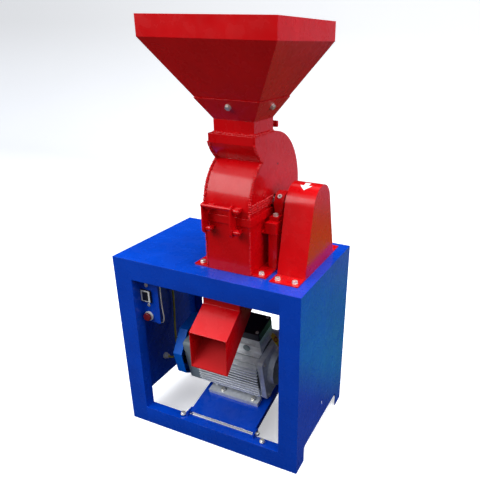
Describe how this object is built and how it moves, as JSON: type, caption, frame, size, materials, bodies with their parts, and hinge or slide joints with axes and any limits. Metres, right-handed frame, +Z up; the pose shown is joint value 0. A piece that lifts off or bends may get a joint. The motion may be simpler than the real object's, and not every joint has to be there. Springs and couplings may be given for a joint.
{
  "type": "hammer mill",
  "caption": "Belt driven hammer mill on a sheet steel table: square hopper, hinged housing, sloped outlet chute, belt guard and electric motor below.",
  "frame": {"origin": "middle of the machine's footprint, on the floor", "axes": "+Z up, -Y the front where the chute opens, +X to the right along the front, towards the belt guard"},
  "size_m": [0.75, 0.543, 1.534],
  "materials": {
    "red_paint": "gloss",
    "blue_paint": "gloss",
    "zinc": "satin",
    "steel": "satin",
    "cast_aluminium": "matte",
    "grey_paint": "satin",
    "cowl_blue": "satin",
    "black_plastic": "matte",
    "white_plastic": "gloss",
    "red_plastic": "gloss",
    "olive_sheath": "matte",
    "grey_sheath": "matte",
    "belt_rubber": "matte",
    "cast_iron": "matte"
  },
  "bodies": {
    "table": {"base_flanges": "red_paint", "bearing_left": "red_paint", "bearing_right": "red_paint", "bearing_supports": "red_paint", "belt_guard": "red_paint", "button_bezel": "white_plastic", "cable_gland": "white_plastic", "control_lead": "grey_sheath", "control_plate": "blue_paint", "discharge_chute": "red_paint", "drive_belts": "belt_rubber", "hinge_rod": "zinc", "latch_lugs": "red_paint", "lid_hinge_fixed": "red_paint", "lower_end_plates": "red_paint", "lower_side_plates": "red_paint", "plate_lugs": "blue_paint", "rail_front_bottom": "blue_paint", "rail_front_top": "blue_paint", "rail_rear_top": "blue_paint", "screen": "steel", "seam_band": "red_paint", "side_panel_left": "blue_paint", "side_panel_right": "blue_paint", "stile_left": "blue_paint", "stile_right": "blue_paint", "supply_cable": "olive_sheath", "switch_housing": "black_plastic", "table_top": "blue_paint"},
    "rotor": {"rotor_shaft": "steel", "rotor_discs": "steel", "hammer_pins": "steel", "mill_pulley": "cast_iron"},
    "motor_tray": {"motor_plate": "blue_paint", "motor_feet": "cast_aluminium", "motor_frame": "cast_aluminium", "drive_end_shield": "cast_aluminium", "rear_end_shield": "grey_paint", "fan_cowl": "cowl_blue", "terminal_box": "cast_aluminium", "terminal_lid": "black_plastic"},
    "motor_rotor": {"motor_shaft": "steel", "cooling_fan": "black_plastic", "motor_pulley": "cast_iron"},
    "lid": {"upper_side_plates": "red_paint", "upper_wrapper": "red_paint", "feed_neck": "red_paint", "neck_collar": "red_paint", "hopper": "red_paint", "lid_hinge_moving": "red_paint", "latch_catches": "red_paint"},
    "gate": {"feed_gate": "red_paint"},
    "latch": {"latch_yoke": "red_paint"},
    "button": {"stop_button": "red_plastic"},
    "rocker": {"switch_rocker": "black_plastic"},
    "hammers_1": {"hammer_row_1": "steel"},
    "hammers_2": {"hammer_row_2": "steel"},
    "hammers_3": {"hammer_row_3": "steel"},
    "hammers_4": {"hammer_row_4": "steel"}
  },
  "joints": [
    {"name": "rotor_spin", "type": "hinge", "parent": "table", "child": "rotor", "pos_m": [0.074, 0.0285, 0.958], "axis": [1, 0, 0], "continuous": true},
    {"name": "hammer_swing_1", "type": "hinge", "parent": "rotor", "child": "hammers_1", "pos_m": [0.074, 0.08365, 1.01315], "axis": [1, 0, 0], "range_deg": [-60, 60]},
    {"name": "hammer_swing_2", "type": "hinge", "parent": "rotor", "child": "hammers_2", "pos_m": [0.074, -0.02665, 1.01315], "axis": [1, 0, 0], "range_deg": [-60, 60]},
    {"name": "hammer_swing_3", "type": "hinge", "parent": "rotor", "child": "hammers_3", "pos_m": [0.074, -0.02665, 0.90285], "axis": [1, 0, 0], "range_deg": [-60, 60]},
    {"name": "hammer_swing_4", "type": "hinge", "parent": "rotor", "child": "hammers_4", "pos_m": [0.074, 0.08365, 0.90285], "axis": [1, 0, 0], "range_deg": [-60, 60]},
    {"name": "plate_tilt", "type": "hinge", "parent": "table", "child": "motor_tray", "pos_m": [0, -0.1715, 0.082], "axis": [1, 0, 0], "range_deg": [-2, 2], "deforming": ["drive_belts"]},
    {"name": "motor_spin", "type": "hinge", "parent": "motor_tray", "child": "motor_rotor", "pos_m": [0.2, 0.02194, 0.27547], "axis": [1, 0, 0], "continuous": true},
    {"name": "lid_open", "type": "hinge", "parent": "table", "child": "lid", "pos_m": [0.074, 0.2535, 0.944], "axis": [-1, 0, 0], "range_deg": [0, 95]},
    {"name": "gate_slide", "type": "slide", "parent": "lid", "child": "gate", "axis": [0, 1, 0], "range_m": [0, 0.11]},
    {"name": "latch_swing", "type": "hinge", "parent": "table", "child": "latch", "pos_m": [0.074, -0.173, 0.899], "axis": [1, 0, 0], "range_deg": [0, 115]},
    {"name": "stop_press", "type": "slide", "parent": "table", "child": "button", "axis": [0, 1, 0], "range_m": [0, 0.005], "stiffness_N_per_m": 500},
    {"name": "switch_rock", "type": "hinge", "parent": "table", "child": "rocker", "pos_m": [-0.2755, -0.1765, 0.58], "axis": [1, 0, 0], "range_deg": [-12, 12]}
  ],
  "couplings": [
    {"joint": "motor_spin", "follows": "rotor_spin", "ratio": 0.63134}
  ]
}
